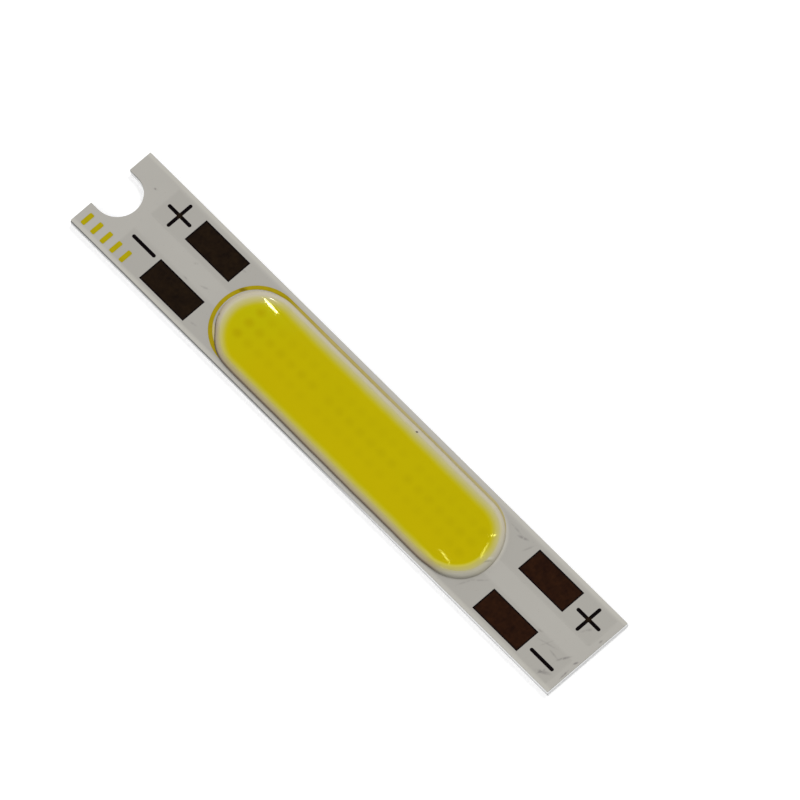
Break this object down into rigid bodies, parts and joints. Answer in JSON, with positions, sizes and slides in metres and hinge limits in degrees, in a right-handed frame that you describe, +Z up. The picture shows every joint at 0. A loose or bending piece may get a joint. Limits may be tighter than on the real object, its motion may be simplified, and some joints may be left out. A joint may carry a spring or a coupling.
{
  "type": "cob led strip module",
  "caption": "Long narrow chip-on-board LED strip: white board with a screw notch, solder pads at both ends and a round-ended pool of yellow phosphor gel.",
  "frame": {"origin": "middle of the board's underside", "axes": "+X along the board from the notch end to the far end, +Y across it from the minus side to the plus side, +Z up out of the light-emitting side"},
  "size_m": [0.065, 0.01, 0.0016],
  "materials": {
    "aluminium_core": "rolled aluminium sheet with scored and punched edges",
    "insulating_laminate": "filled resin laminate",
    "copper": "etched copper foil",
    "white_mask": "satin white solder mask",
    "contact_finish": "dark brown plated contact surface",
    "yellow_print": "screen-printed ink",
    "led_chip": "sapphire die",
    "die_adhesive": "cured clear-white adhesive",
    "bond_wire": "drawn gold wire",
    "dam_silicone": "glossy translucent white silicone",
    "phosphor_silicone": "glossy silicone filled with yellow phosphor"
  },
  "bodies": {
    "root": {"aluminium_base": "aluminium_core", "laminate": "insulating_laminate", "plus_track": "copper", "minus_track": "copper", "solder_mask": "white_mask", "plus_pad_notch_end": "contact_finish", "minus_pad_notch_end": "contact_finish", "plus_pad_far_end": "contact_finish", "minus_pad_far_end": "contact_finish", "plus_mark_notch_end": "contact_finish", "minus_mark_notch_end": "contact_finish", "plus_mark_far_end": "contact_finish", "minus_mark_far_end": "contact_finish", "outline_ring": "yellow_print", "print_bars": "yellow_print", "chips_plus_row": "led_chip", "chips_middle_row": "led_chip", "chips_minus_row": "led_chip", "die_bond_plus_row": "die_adhesive", "die_bond_middle_row": "die_adhesive", "die_bond_minus_row": "die_adhesive", "wires_plus_track": "bond_wire", "wires_plus_to_middle": "bond_wire", "wires_middle_to_minus": "bond_wire", "wires_minus_track": "bond_wire", "dam_ring": "dam_silicone", "phosphor_gel": "phosphor_silicone"}
  },
  "joints": []
}
